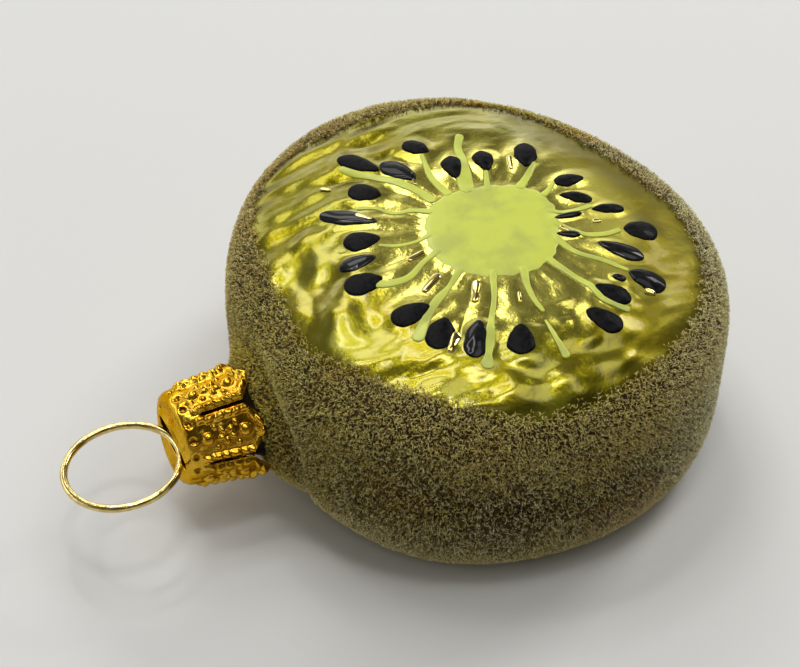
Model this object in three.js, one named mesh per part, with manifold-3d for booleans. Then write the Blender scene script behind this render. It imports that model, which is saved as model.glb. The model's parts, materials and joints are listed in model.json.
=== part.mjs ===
// A mould-blown glass tree ornament in the shape of a thick kiwi slice, lying on its back: a domed,
// relief-moulded cut face, flocked sides, a stamped metal cap on the neck and a wire ring through
// the slot of the cap. Millimetres, +Z up. The origin is the middle of the flat patch it rests on,
// and the neck points along -X.
import * as THREE from "three";
import { mergeVertices } from "three/addons/utils/BufferGeometryUtils.js";
import Module from "manifold-3d";

const wasm = await Module();
wasm.setup();

// Slice: outline, measured to the tips of the flock.
const SLICE_RADIUS = 31;
const OVAL_SHARE = 0.033; // share of the radius by which the outline is an oval
const OVAL_TURN = THREE.MathUtils.degToRad(74);
const LOBE_SHARE = 0.025; // and by which it has three soft corners
const LOBE_TURN = THREE.MathUtils.degToRad(32);
const NECK_FLAT = 1.2; // depth by which the outline is flattened behind the neck
const NECK_FLAT_TURN = THREE.MathUtils.degToRad(13);

// Slice: profile. ρ is the distance from the middle as a share of the outline's radius.
const WIDEST_HEIGHT = 11.2;
const DOME_RISE = 17.8; // from the widest height to the middle of the cut face
const DOME_POWER = 3.2;
const SHOULDER_POWER = 0.158;
const FOOT_SHARE = 0.8; // ρ of the foot's edge
const FLANK_POWER = 0.476; // the smaller, the sooner the flank turns upright above the foot

// Relief of the cut face, in plan round the middle of the core.
const CORE_X = 2.6;
const CORE_Y = -0.9;
const CORE_RADIUS = 8.4;
const CORE_EDGE = 1.6; // width of the slope round the core
const CORE_LIFT = 0.35;
const RAY_COUNT = 24;
const RAY_DEPTH = 0.22;
const RAY_FADE_RADIUS = 13; // the rays fade out from here to the outer radius
const RAY_OUTER_RADIUS = 17;
const DENT_DEPTH = 0.3;
const DENT_INNER_RADIUS = 14; // the dents fade in from here to the full radius
const DENT_FULL_RADIUS = 18;
const DENT_COUNT = 17; // dents in one turn
const DENT_PITCH = 4.6; // outward distance from one dent to the next
const DENT_SWIRL = 4; // outward pitches the rows of dents climb in a turn
const DENT_WANDER = 2;
const DENT_FADE_SHARE = 0.78; // ρ where the dents start to fade
const FACE_EDGE_SHARE = 0.84; // ρ where the cut face ends and the flock starts

// Mesh steps of the slice.
const AROUND = 84;
const FLANK_STEPS = 9;
const TOP_STEPS = 24;
const TOP_CROWDING = 2.2; // crowds the rings towards the shoulder

// Neck and cap share one axis, tilted a little up. Depths are measured inwards from the end plate.
const CAP_END = new THREE.Vector3(-39.9, -0.4, 11.5);
const CAP_TILT = THREE.MathUtils.degToRad(5);
const NECK_RADIUS = 4.4;
const NECK_TOP_DEPTH = 3.6;
const NECK_FLARE_DEPTH = 8.6;
const NECK_FLARE_RADIUS = 8.5;
const NECK_END_DEPTH = 15;
const NECK_BEVEL = 0.4; // round the tube's end
const FLARE_STEPS = 6;
const NECK_SIDES = 36;

const PLATE_RADIUS = 5.6;
const CAP_LENGTH = 10.2;
const CAP_MOUTH_RADIUS = 6.8;
const CAP_WALL = 0.4;
const CAP_EDGE = 0.35; // bevel round the end plate
const PETALS = 6;
const PETAL_SLIT = 0.4;
const SLIT_START_DEPTH = 2.2;
const POINT_START_DEPTH = 7.9;
const POINT_NOTCH = 2.8; // half width of the notch between two points at the mouth
const PETAL_TURN = THREE.MathUtils.degToRad(-7.5); // of the uppermost petal, towards -Y
const SLOT_HALF_LENGTH = 4.1;
const SLOT_HALF_WIDTH = 1.35;
const SLOT_SHIFT = -0.3; // of its middle towards -Y
const SLOT_FULLNESS = 0.6; // 1 gives an ellipse, and less gives fuller ends
const SLOT_STEPS = 28;
const CAP_SIDES = 60;

// Ring: a closed loop of round wire, slid along the slot towards -Y.
const RING_RADIUS = 6.95;
const WIRE_RADIUS = 0.47;
const RING_SLIDE = -1.1;
const RING_DEPTH = 0.2; // of its innermost point behind the outer face of the end plate
const RING_TILT = THREE.MathUtils.degToRad(-1.3); // of the ring's outward direction, from level
const RING_ROLL = THREE.MathUtils.degToRad(-6);
const RING_STEPS = 56;
const WIRE_SIDES = 10;

// A closed geometry as a manifold solid, with its shared vertices merged.
function solid(geometry) {
  const bare = new THREE.BufferGeometry();
  bare.setAttribute("position", geometry.getAttribute("position"));
  if (geometry.index) bare.setIndex(geometry.index);
  const merged = mergeVertices(bare, 1e-4);
  return new wasm.Manifold(
    new wasm.Mesh({
      numProp: 3,
      vertProperties: new Float32Array(merged.attributes.position.array),
      triVerts: new Uint32Array(merged.index.array),
    }),
  );
}

// A manifold solid as a three.js geometry.
function geometryOf(manifold) {
  const mesh = manifold.getMesh();
  const geometry = new THREE.BufferGeometry();
  geometry.setAttribute("position", new THREE.BufferAttribute(mesh.vertProperties, 3));
  geometry.setIndex(new THREE.BufferAttribute(mesh.triVerts, 1));
  geometry.computeVertexNormals();
  return geometry;
}

// Radius of the slice's outline at an angle round its middle: an oval with three soft corners,
// flattened where the neck leaves it.
function outline(angle) {
  const oval = OVAL_SHARE * Math.cos(2 * (angle + OVAL_TURN));
  const lobes = LOBE_SHARE * Math.cos(3 * (angle + LOBE_TURN));
  const fromNeck = Math.atan2(Math.sin(angle), -Math.cos(angle)) / NECK_FLAT_TURN;
  return SLICE_RADIUS * (1 + oval + lobes) - NECK_FLAT * Math.exp(-fromNeck * fromNeck);
}

// Height of the slice's upper surface, a dome that falls steeply at the shoulder.
function domeHeight(share) {
  return WIDEST_HEIGHT + DOME_RISE * Math.pow(1 - Math.pow(share, DOME_POWER), SHOULDER_POWER);
}

// Moulded relief of the cut face: a raised core, grooves that run out from it, and dents outside.
function relief(x, y, share) {
  const out = Math.hypot(x - CORE_X, y - CORE_Y);
  const turn = Math.atan2(y - CORE_Y, x - CORE_X);
  const { smoothstep } = THREE.MathUtils;
  const beyondCore = smoothstep(out, CORE_RADIUS, CORE_RADIUS + CORE_EDGE);
  const core = CORE_LIFT * (1 - beyondCore);
  const inRays = beyondCore * (1 - smoothstep(out, RAY_FADE_RADIUS, RAY_OUTER_RADIUS));
  const rays = RAY_DEPTH * Math.cos(RAY_COUNT * turn) * inRays;
  const beforeEdge = 1 - smoothstep(share, DENT_FADE_SHARE, FACE_EDGE_SHARE);
  const inDents = smoothstep(out, DENT_INNER_RADIUS, DENT_FULL_RADIUS) * beforeEdge;
  const across = Math.sin(DENT_COUNT * turn + DENT_WANDER * Math.sin(3 * turn));
  const outwards = Math.sin((2 * Math.PI * out) / DENT_PITCH + DENT_SWIRL * turn);
  return core + rays + DENT_DEPTH * inDents * across * outwards;
}

// The slice: rings of points from the foot up the flank, over the shoulder and in to the middle.
function sliceGeometry() {
  const rings = [];
  for (let i = 0; i <= FLANK_STEPS; i++) {
    const rise = (i / FLANK_STEPS) * (Math.PI / 2);
    const share = FOOT_SHARE + (1 - FOOT_SHARE) * Math.sin(rise);
    rings.push({ share, height: WIDEST_HEIGHT * (1 - Math.pow(Math.cos(rise), FLANK_POWER)) });
  }
  for (let i = 1; i < TOP_STEPS; i++) {
    const share = 1 - Math.pow(i / TOP_STEPS, TOP_CROWDING);
    rings.push({ share, height: domeHeight(share) });
  }
  const points = [0, 0, 0];
  rings.forEach(({ share, height }, row) => {
    for (let i = 0; i < AROUND; i++) {
      const angle = (2 * Math.PI * i) / AROUND;
      const x = outline(angle) * share * Math.cos(angle);
      const y = outline(angle) * share * Math.sin(angle);
      points.push(x, y, row > FLANK_STEPS ? height + relief(x, y, share) : height);
    }
  });
  points.push(0, 0, domeHeight(0) + relief(0, 0, 0));
  const last = points.length / 3 - 1;
  const faces = [];
  for (let i = 0; i < AROUND; i++) {
    const next = (i + 1) % AROUND;
    faces.push(0, 1 + next, 1 + i);
    for (let row = 0; row < rings.length - 1; row++) {
      const here = 1 + row * AROUND;
      const above = here + AROUND;
      faces.push(here + i, here + next, above + next);
      faces.push(here + i, above + next, above + i);
    }
    faces.push(last - AROUND + i, last - AROUND + next, last);
  }
  const geometry = new THREE.BufferGeometry();
  geometry.setAttribute("position", new THREE.BufferAttribute(new Float32Array(points), 3));
  geometry.setIndex(faces);
  return geometry;
}

// Places the cap's own frame: its origin is the middle of the end plate's outer face, +X runs in
// along the axis and -X runs out of the plate, tilted up.
function capMatrix() {
  const matrix = new THREE.Matrix4().makeRotationY(CAP_TILT);
  matrix.setPosition(CAP_END);
  return matrix;
}

// A lathe about the cap's axis. Profile points are [radius, depth].
function lathe(profile, sides) {
  const points = profile.map(([radius, depth]) => new THREE.Vector2(radius, -depth));
  const geometry = new THREE.LatheGeometry(points, sides);
  geometry.rotateZ(Math.PI / 2);
  return geometry.applyMatrix4(capMatrix());
}

// The neck: a straight glass tube end that flares into the flank of the slice.
function neckGeometry() {
  const profile = [[0, NECK_END_DEPTH]];
  for (let i = 0; i <= FLARE_STEPS; i++) {
    const way = 1 - i / FLARE_STEPS;
    const radius = NECK_RADIUS + (NECK_FLARE_RADIUS - NECK_RADIUS) * way * way;
    profile.push([radius, NECK_FLARE_DEPTH + (NECK_END_DEPTH - NECK_FLARE_DEPTH) * way]);
  }
  profile.push([NECK_RADIUS, NECK_TOP_DEPTH + NECK_BEVEL]);
  profile.push([NECK_RADIUS - NECK_BEVEL, NECK_TOP_DEPTH]);
  profile.push([0, NECK_TOP_DEPTH]);
  return lathe(profile, NECK_SIDES);
}

// The glass: the slice joined with its neck.
function glassBody() {
  return geometryOf(solid(sliceGeometry()).add(solid(neckGeometry())));
}

// A prism through the cap's wall between two petals: a slit that opens into a wide notch.
function notch(turn) {
  const shape = new THREE.Shape();
  const half = PETAL_SLIT / 2;
  const beyond = CAP_LENGTH + CAP_WALL;
  shape.moveTo(SLIT_START_DEPTH, -half);
  shape.lineTo(POINT_START_DEPTH, -half);
  shape.lineTo(beyond, -POINT_NOTCH);
  shape.lineTo(beyond, POINT_NOTCH);
  shape.lineTo(POINT_START_DEPTH, half);
  shape.lineTo(SLIT_START_DEPTH, half);
  shape.closePath();
  const geometry = new THREE.ExtrudeGeometry(shape, { depth: CAP_MOUTH_RADIUS, bevelEnabled: false });
  geometry.translate(0, 0, PLATE_RADIUS / 2);
  geometry.rotateX(turn);
  return solid(geometry.applyMatrix4(capMatrix()));
}

// The prism that cuts the slot for the ring: an oval with full ends, lying across the end plate.
function slot() {
  const shape = new THREE.Shape();
  for (let i = 0; i < SLOT_STEPS; i++) {
    const angle = (2 * Math.PI * i) / SLOT_STEPS;
    const along = SLOT_SHIFT + SLOT_HALF_LENGTH * Math.cos(angle);
    const side = Math.sin(angle);
    const across = SLOT_HALF_WIDTH * Math.sign(side) * Math.abs(side) ** SLOT_FULLNESS;
    if (i === 0) shape.moveTo(along, across);
    else shape.lineTo(along, across);
  }
  shape.closePath();
  const geometry = new THREE.ExtrudeGeometry(shape, { depth: 4 * CAP_WALL, bevelEnabled: false });
  geometry.translate(0, 0, -2 * CAP_WALL);
  geometry.rotateZ(Math.PI / 2);
  geometry.rotateY(Math.PI / 2);
  return solid(geometry.applyMatrix4(capMatrix()));
}

// The cap: a thin stamped cup, slotted in its end plate and cut into pointed petals.
function capGeometry() {
  const cup = lathe(
    [
      [0, 0],
      [PLATE_RADIUS - CAP_EDGE, 0],
      [PLATE_RADIUS, CAP_EDGE],
      [CAP_MOUTH_RADIUS, CAP_LENGTH],
      [CAP_MOUTH_RADIUS - CAP_WALL, CAP_LENGTH],
      [PLATE_RADIUS - CAP_WALL, CAP_EDGE + CAP_WALL],
      [PLATE_RADIUS - CAP_WALL - CAP_EDGE, CAP_WALL],
      [0, CAP_WALL],
    ].reverse(),
    CAP_SIDES,
  );
  let cap = solid(cup).subtract(slot());
  for (let i = 0; i < PETALS; i++) {
    cap = cap.subtract(notch(PETAL_TURN + ((i + 0.5) * 2 * Math.PI) / PETALS));
  }
  return geometryOf(cap);
}

// The innermost point of the ring's wire, about which the ring swings.
function ringPivot() {
  return new THREE.Vector3(RING_DEPTH, RING_SLIDE, 0).applyMatrix4(capMatrix());
}

function finish(name, geometry, colour, roughness, metalness) {
  const material = new THREE.MeshStandardMaterial({ color: colour, roughness, metalness });
  const mesh = new THREE.Mesh(geometry, material);
  mesh.name = name;
  return mesh;
}

const group = new THREE.Group();
group.add(finish("glass_body", glassBody(), 0x8f8a32, 0.6, 0.2));
group.add(finish("cap", capGeometry(), 0xd9a01e, 0.25, 1));

const ring = finish(
  "ring",
  new THREE.TorusGeometry(RING_RADIUS, WIRE_RADIUS, WIRE_SIDES, RING_STEPS),
  0xcdbb7a,
  0.2,
  1,
);
ring.position.set(-RING_RADIUS, 0, 0);
const ringHolder = new THREE.Group();
ringHolder.position.copy(ringPivot());
ringHolder.rotation.set(RING_ROLL, RING_TILT, 0, "YXZ");
ringHolder.add(ring);
group.add(ringHolder);

export default group;
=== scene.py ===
"""A blown glass tree ornament shaped as a thick slice of kiwi, lying on its back: a silvered and
lacquered cut face with enamel rays and seeds, flocked sides, a stamped gilt cap and a wire ring.
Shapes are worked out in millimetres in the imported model's frame and scaled to metres last."""

import json

import bpy
import numpy as np
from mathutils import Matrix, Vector


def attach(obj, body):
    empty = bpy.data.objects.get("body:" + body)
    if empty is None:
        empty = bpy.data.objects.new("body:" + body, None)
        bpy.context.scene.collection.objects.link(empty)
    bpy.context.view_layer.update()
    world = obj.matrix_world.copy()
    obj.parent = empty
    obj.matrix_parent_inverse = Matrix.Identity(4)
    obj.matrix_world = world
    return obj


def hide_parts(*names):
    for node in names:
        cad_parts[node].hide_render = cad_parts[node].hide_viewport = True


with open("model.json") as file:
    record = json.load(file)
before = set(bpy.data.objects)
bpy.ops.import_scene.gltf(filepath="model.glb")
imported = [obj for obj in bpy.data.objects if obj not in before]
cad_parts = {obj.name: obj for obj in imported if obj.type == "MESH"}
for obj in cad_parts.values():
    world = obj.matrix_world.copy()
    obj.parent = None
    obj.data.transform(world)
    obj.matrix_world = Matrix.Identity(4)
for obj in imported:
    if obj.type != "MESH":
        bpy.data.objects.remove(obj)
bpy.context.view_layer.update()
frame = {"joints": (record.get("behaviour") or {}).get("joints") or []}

# ---------------------------------------------------------------------------------------------
# The studio: a long lens looking down at the ornament on pale paper, under a frame of four strip
# lights, with soft lamps to the right, behind and overhead. The room around is dim, with bright
# patches on its far walls and bright panels in its ceiling.

MM = 0.001
CAMERA_TURN = np.radians(26.0)  # round from straight in front, towards the cap
CAMERA_RISE = np.radians(46.0)
CAMERA_DISTANCE = 267.2
CAMERA_AIM = np.array([-2.83, 13.51, 0.0])
CAMERA_LENS, SENSOR_WIDTH = 90.0, 36.0

view = np.array([
    -np.sin(CAMERA_TURN) * np.cos(CAMERA_RISE),
    -np.cos(CAMERA_TURN) * np.cos(CAMERA_RISE),
    np.sin(CAMERA_RISE),
])


def new_object(name, data):
    """An object that holds some data, linked into the scene."""
    made = bpy.data.objects.new(name, data)
    bpy.context.scene.collection.objects.link(made)
    return made


camera = new_object("camera", bpy.data.cameras.new("camera"))
camera.location = (CAMERA_AIM + CAMERA_DISTANCE * view) * MM
camera.rotation_euler = Vector(-view).to_track_quat("-Z", "Y").to_euler()
camera.data.lens = CAMERA_LENS
camera.data.sensor_width = SENSOR_WIDTH
camera.data.clip_start = 10 * MM
bpy.context.scene.camera = camera
bpy.context.scene.view_settings.view_transform = "Standard"


def new_material(name):
    """A node material holding one Principled shader: the material, its tree and the shader."""
    material = bpy.data.materials.new(name)
    material.use_nodes = True
    tree = material.node_tree
    return material, tree, tree.nodes["Principled BSDF"]


def fill(node, values):
    """Fills a node's inputs by name or number: an output is linked in, a plain value is set."""
    for socket, value in values.items():
        if isinstance(value, bpy.types.NodeSocket):
            node.id_data.links.new(value, node.inputs[socket])
        else:
            node.inputs[socket].default_value = value
    return node


def add_node(tree, kind, values, **settings):
    """A shader node of a kind, with its settings made and then its inputs filled."""
    node = tree.nodes.new("ShaderNode" + kind)
    for name, setting in settings.items():
        setattr(node, name, setting)
    return fill(node, values)


def blend_colours(factor, first, second, mode="MIX"):
    """The first colour where the factor is 0, turning to the second where it is 1."""
    first, second = ((*tone, 1) if isinstance(tone, tuple) else tone for tone in (first, second))
    values = {0: factor, 6: first, 7: second}
    return add_node(factor.id_data, "Mix", values, data_type="RGBA", blend_type=mode).outputs[2]


def to_range(value, low, high, least=0.0, most=1.0):
    """A value carried smoothly from one range to another, held at both ends."""
    values = {"Value": value, "From Min": low, "From Max": high, "To Min": least, "To Max": most}
    node = add_node(value.id_data, "MapRange", values, interpolation_type="SMOOTHSTEP")
    return node.outputs["Result"]


def along_way(where, way):
    """How far each place lies along a way: the dot product of the two."""
    values = {0: where, 1: way}
    return add_node(where.id_data, "VectorMath", values, operation="DOT_PRODUCT").outputs["Value"]


def combine(operation, first, second):
    """Two values added or multiplied."""
    values = {0: first, 1: second}
    return add_node(first.id_data, "Math", values, operation=operation).outputs["Value"]


def add_socket(group, direction, name, kind):
    """A named input or output socket on a node group."""
    group.interface.new_socket(name=name, in_out=direction, socket_type="NodeSocket" + kind)


def make_mottling():
    """The group that every finish uses: two colours mixed by noise of a scale, between a low and a
    high value of it, with the mask of the mix and a normal that the same noise has roughened."""
    group = bpy.data.node_groups.new("mottling", "ShaderNodeTree")
    for name in ("Scale", "Detail", "Low", "High", "Strength", "Depth"):
        add_socket(group, "INPUT", name, "Float")
    for name in ("Dark", "Pale"):
        add_socket(group, "INPUT", name, "Color")
    for name, kind in (("Colour", "Color"), ("Mask", "Float"), ("Normal", "Vector")):
        add_socket(group, "OUTPUT", name, kind)
    given = group.nodes.new("NodeGroupInput").outputs
    where = group.nodes.new("ShaderNodeTexCoord").outputs["Object"]
    noise = add_node(group, "TexNoise", {
        "Vector": where, "Scale": given["Scale"], "Detail": given["Detail"],
    }).outputs["Fac"]
    mask = to_range(noise, given["Low"], given["High"])
    rough = add_node(group, "Bump", {
        "Height": noise, "Strength": given["Strength"], "Distance": given["Depth"],
    })
    fill(group.nodes.new("NodeGroupOutput"), {
        "Colour": blend_colours(mask, given["Dark"], given["Pale"]),
        "Mask": mask, "Normal": rough.outputs["Normal"],
    })
    return group


mottling = make_mottling()


def mottle(tree, scale, dark, pale, detail=3.0, between=(0.3, 0.7), strength=0.0, depth=0.0002):
    """A mottling group placed in a material with its own values."""
    return add_node(tree, "Group", {
        "Scale": scale, "Detail": detail, "Low": between[0], "High": between[1],
        "Strength": strength, "Depth": depth, "Dark": (*dark, 1), "Pale": (*pale, 1),
    }, node_tree=mottling).outputs


FLOOR_HALF = 1500.0
floor_mesh = bpy.data.meshes.new("floor")
floor_corners = np.array([[-1, -1, 0], [1, -1, 0], [1, 1, 0], [-1, 1, 0]]) * FLOOR_HALF * MM
floor_mesh.from_pydata(floor_corners.tolist(), [], [(0, 1, 2, 3)])
floor = new_object("floor", floor_mesh)
paper, tree, shader = new_material("paper")
sheet = mottle(tree, 6.0, (0.755, 0.757, 0.749), (0.78, 0.782, 0.774), detail=2.0)
fill(shader, {"Base Color": sheet["Colour"], "Roughness": 0.6})
floor_mesh.materials.append(paper)

LAMP_TINT = (1.0, 0.99, 0.965)
TOP_PLACE, TOP_GLOW = (95, 68, 900), 10.6  # bearing, rise and distance of the frame of strips
TOP_WIDTH, TOP_HEIGHT, TOP_STRIP = 300, 230, 50
LAMPS = {  # bearing and rise in degrees, distance, width, height, and glow
    "right_lamp": (19, 40, 800, 220, 170, 12.5),
    "back_lamp": (83, 47, 800, 260, 200, 4.4),
    "high_lamp": (-100, 88, 800, 140, 110, 12.5),
}


def softbox(name, bearing, rise, distance, width, height, glow, shift=(0, 0)):
    """A flat light seen from the ornament at a bearing and a rise in degrees, facing it. The shift
    moves it sideways and up in its own plane, and glow is its brightness for each steradian."""
    bearing, rise = np.radians([bearing, rise])
    level = np.cos(rise)
    toward = np.array([np.cos(bearing) * level, np.sin(bearing) * level, np.sin(rise)])
    turned = Vector(-toward).to_track_quat("-Z", "Y")
    light = new_object(name, bpy.data.lights.new(name, "AREA"))
    light.data.shape = "RECTANGLE"
    light.data.size, light.data.size_y = width * MM, height * MM
    light.data.energy = glow * np.pi * width * height * MM**2
    light.data.color = LAMP_TINT
    light.location = Vector(toward * distance * MM) + turned @ Vector((*shift, 0)) * MM
    light.rotation_euler = turned.to_euler()


for end in (-1, 1):
    aside, upward = end * (TOP_WIDTH - TOP_STRIP) / 2, end * (TOP_HEIGHT - TOP_STRIP) / 2
    between = TOP_WIDTH - 2 * TOP_STRIP
    softbox(f"top_frame_{end + 1}", *TOP_PLACE, TOP_STRIP, TOP_HEIGHT, TOP_GLOW, (aside, 0))
    softbox(f"top_frame_{end + 2}", *TOP_PLACE, between, TOP_STRIP, TOP_GLOW, (0, upward))
for name, place_size_glow in LAMPS.items():
    softbox(name, *place_size_glow)

FARWARD = (-0.32, 0.87, 0.20)
DIM_WALL, BRIGHT_WALL = (0.37, 0.34, 0.285), (3.00, 3.00, 2.95)
HIGH_SHADE, LOW_SHADE = (0.16, 0.16, 0.16), (0.40, 0.40, 0.40)  # on the walls' tops and feet
DIM_CEILING, BRIGHT_CEILING = (0.08, 0.08, 0.08), (2.30, 2.30, 2.27)

room = bpy.data.worlds.new("room")
room.use_nodes = True
tree = room.node_tree
direction = tree.nodes.new("ShaderNodeTexCoord").outputs["Generated"]
height = along_way(direction, (0, 0, 1))
broad, fine = (
    add_node(tree, "TexNoise", {"Vector": direction, "Scale": scale, "Detail": 1.0}).outputs["Fac"]
    for scale in (2.7, 5.5)
)
patches = to_range(fine, 0.44, 0.56, 0.30, 1.40)
far_side = to_range(along_way(direction, FARWARD), 0.20, 0.84)
walls = blend_colours(combine("MULTIPLY", far_side, patches), DIM_WALL, BRIGHT_WALL)
walls = blend_colours(to_range(height, 0.29, 0.52), walls, HIGH_SHADE, "MULTIPLY")
walls = blend_colours(to_range(height, 0.24, 0.02), walls, LOW_SHADE, "MULTIPLY")
ceiling = blend_colours(to_range(broad, 0.49, 0.56), DIM_CEILING, BRIGHT_CEILING)
sky = blend_colours(to_range(height, 0.77, 0.93), walls, ceiling)
fill(tree.nodes["Background"], {"Color": sky, "Strength": 1.0})
bpy.context.scene.world = room

# ---------------------------------------------------------------------------------------------
# The glass: one thin bulb blown into a mould, silvered inside and lacquered green-gold on the cut
# face. Seeds and the ribs that run in to the core are raised, and the flesh outside them is dented.
# Its neck leaves the side towards -X.

SLICE_RADIUS = 31.0
OVAL_SHARE, OVAL_TURN = 0.033, np.radians(74.0)
LOBE_SHARE, LOBE_TURN = 0.025, np.radians(32.0)
NECK_FLAT, NECK_FLAT_TURN = 1.2, np.radians(13.0)
FLOCK_DEPTH = 0.7  # the glass of the sides lies this far inside the tips of the flock
WIDEST_HEIGHT = 11.2
DOME_RISE, DOME_POWER, SHOULDER_POWER = 17.8, 3.2, 0.158
FOOT_SHARE, FOOT_HEIGHT, FLANK_POWER = 0.80, 0.25, 0.476
TUCK_SHARE, TUCK_TURN, TUCK_SPREAD = 0.06, np.radians(-156.0), np.radians(22.0)  # under the neck
WALL_ROWS, WALL_COLUMNS = 226, 420
FACE_FINENESS = 2.7  # how many times closer the rows are on the face

CAP_END = np.array([-39.9, -0.4, 11.5])  # middle of the cap's end plate
CAP_TILT = np.radians(5.0)
INWARD = np.array([np.cos(CAP_TILT), 0.0, -np.sin(CAP_TILT)])  # along the cap's axis
UPWARD = np.array([np.sin(CAP_TILT), 0.0, np.cos(CAP_TILT)])
TUBE_RADIUS, TUBE_END_DEPTH = 4.4, 3.6
FLARE_RADIUS, FLARE_TOP_DEPTH, FLARE_FOOT_DEPTH = 8.8, 8.6, 14.0
COLLAR_PULL = 1.1  # how far the collar stands out towards the cap
CREASE_PUSH, CREASE_DISTANCE, CREASE_SPREAD = 0.8, 10.6, 1.3

CORE = np.array([2.6, -0.9])
CORE_RADIUS, CORE_LIFT = 8.2, 0.12
CORE_WAVES = [(0.16, 1, 2.16), (0.19, 2, -0.3), (0.16, 3, -1.36), (0.26, 4, -1.64)]
EDGE_SHARE = 0.844
EDGE_WAVES = [(0.054, 1, 1.69), (0.030, 2, 1.51), (0.020, 3, -1.75), (0.011, 4, 2.63),
              (0.022, 5, 1.79), (0.010, 6, -1.03)]
EDGE_REACH, REACH_TURN, REACH_NARROWNESS = 0.040, 1.55, 1.8

# Seeds: bearing round the core in degrees, distance of the middle from it, length, width, turn of
# the pointed end away from the core in degrees, and gloss from 0 to 1.
SEEDS = [
    (118, 20.2, 5.8, 2.7, 5, 0.1), (96, 17.4, 3.5, 2.7, 29, 0.1), (112, 15.3, 5.2, 3.0, 4, 0.6),
    (132, 16.7, 4.0, 3.2, 7, 0.0), (148, 17.5, 7.0, 2.5, -8, 1.0), (162, 15.9, 4.3, 3.2, 2, 0.2),
    (174, 17.2, 4.5, 2.3, 2, 1.0), (-175, 18.0, 4.5, 3.4, -11, 0.1),
    (-151, 17.3, 4.7, 3.2, -29, 0.0), (-137, 18.3, 4.5, 3.4, 6, 0.0),
    (-124, 18.1, 5.2, 2.9, 0, 0.7), (-108, 18.2, 4.2, 3.2, -10, 0.1),
    (87, 11.8, 4.1, 2.9, -12, 0.2), (68, 12.2, 3.8, 2.6, 8, 0.1), (46, 14.2, 4.6, 3.0, 18, 0.2),
    (17, 13.0, 3.8, 2.3, 157, 0.1), (3, 11.6, 3.9, 1.9, -40, 0.1), (-11, 14.4, 3.9, 1.8, -6, 0.1),
    (-25, 17.6, 4.0, 3.4, 0, 0.3), (-39, 15.3, 5.6, 2.4, -8, 1.0), (-50, 19.4, 4.4, 3.1, 2, 0.6),
    (-64, 17.1, 4.4, 2.6, 14, 0.1), (-76, 19.0, 4.5, 3.0, 19, 0.1), (-12.5, 9.2, 3.5, 1.0, 4, 0.9),
    (-33, 8.9, 2.8, 1.2, 8, 0.9), (-55.5, 16.5, 1.7, 1.1, 10, 0.5),
]
SEED_LIFT, PIP_POWER = 0.32, 1.3
PIP_LENGTH, PIP_WIDTH = 0.58, 0.66  # half-sizes as shares of the seed's sizes
RIB_LIFT, RIB_SPREAD = 0.15, 0.115  # the spread is the half-width for each millimetre from the core
PLEAT_DEPTH, PLEAT_COUNT = 0.012, 43
PILLOW_DEPTH, PILLOW_LENGTH, INNER_SHARE, DIMPLE_SHARE = 0.16, 6.0, 0.11, 0.13
PILLOW_CIRCLE = 20.0  # radius at which bearings are measured for the pillows
PILLOW_SQUEEZE = 0.75  # how much they shorten outwards on the sides facing -Y and +Y
TROUGH_DEPTH, TROUGH_SHARE, TROUGH_SPREAD = 0.15, 0.735, 0.05
CALM_SHARE, LIVELY_TURN = 0.25, np.radians(200)


def outline(turn):
    """Radius at a bearing: an oval with three soft corners, flattened where the neck leaves it."""
    oval = OVAL_SHARE * np.cos(2 * (turn + OVAL_TURN))
    lobes = LOBE_SHARE * np.cos(3 * (turn + LOBE_TURN))
    from_neck = np.arctan2(np.sin(turn), -np.cos(turn)) / NECK_FLAT_TURN
    return SLICE_RADIUS * (1 + oval + lobes) - NECK_FLAT * np.exp(-from_neck**2) - FLOCK_DEPTH


def rim_share(x, y):
    """Distance from the slice's middle as a share of the outline's radius there."""
    return np.hypot(x, y) / outline(np.arctan2(y, x))


def smooth(value, low, high):
    """0 below low, 1 above high, and a smooth S between."""
    share = np.clip((value - low) / (high - low), 0, 1)
    return share * share * (3 - 2 * share)


def bump(value, middle, spread):
    """1 at the middle, falling to both sides as a bell of a spread."""
    return np.exp(-(((value - middle) / spread) ** 2))


def rippled(start, waves, turn):
    """A start value plus waves round the turn, each of a size, a count and a phase."""
    return sum((size * np.cos(count * turn + phase) for size, count, phase in waves), start)


def core_outline(turn):
    """Radius of the painted core at a bearing: a circle with four low waves."""
    return rippled(CORE_RADIUS, CORE_WAVES, turn)


def edge_share(turn):
    """Share of the outline's radius where the lacquered face ends and the flock starts: six low
    waves, and one broad hump towards +Y, where the face reaches further out."""
    reach = np.cos(np.clip(REACH_NARROWNESS * np.abs(turn - REACH_TURN), 0, np.pi))
    return rippled(EDGE_SHARE, EDGE_WAVES, turn) + EDGE_REACH + EDGE_REACH * reach


def wave_noise(points, scale, seed, count=12, shortest=0.65, longest=1.5):
    """Smooth noise of unit spread at points in any number of directions: a count of plane waves of
    random heading and phase added together, their lengths between two multiples of the scale."""
    rng = np.random.default_rng(seed)
    ways = rng.normal(size=(count, points.shape[-1]))
    ways /= np.linalg.norm(ways, axis=1)[:, None]
    phases = rng.uniform(0, 2 * np.pi, count)
    lengths = rng.uniform(shortest, longest, count) * scale
    return sum(np.sin(2 * np.pi * points @ way / length + phase)
               for way, length, phase in zip(ways, lengths, phases)) / np.sqrt(count / 2)


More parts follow.
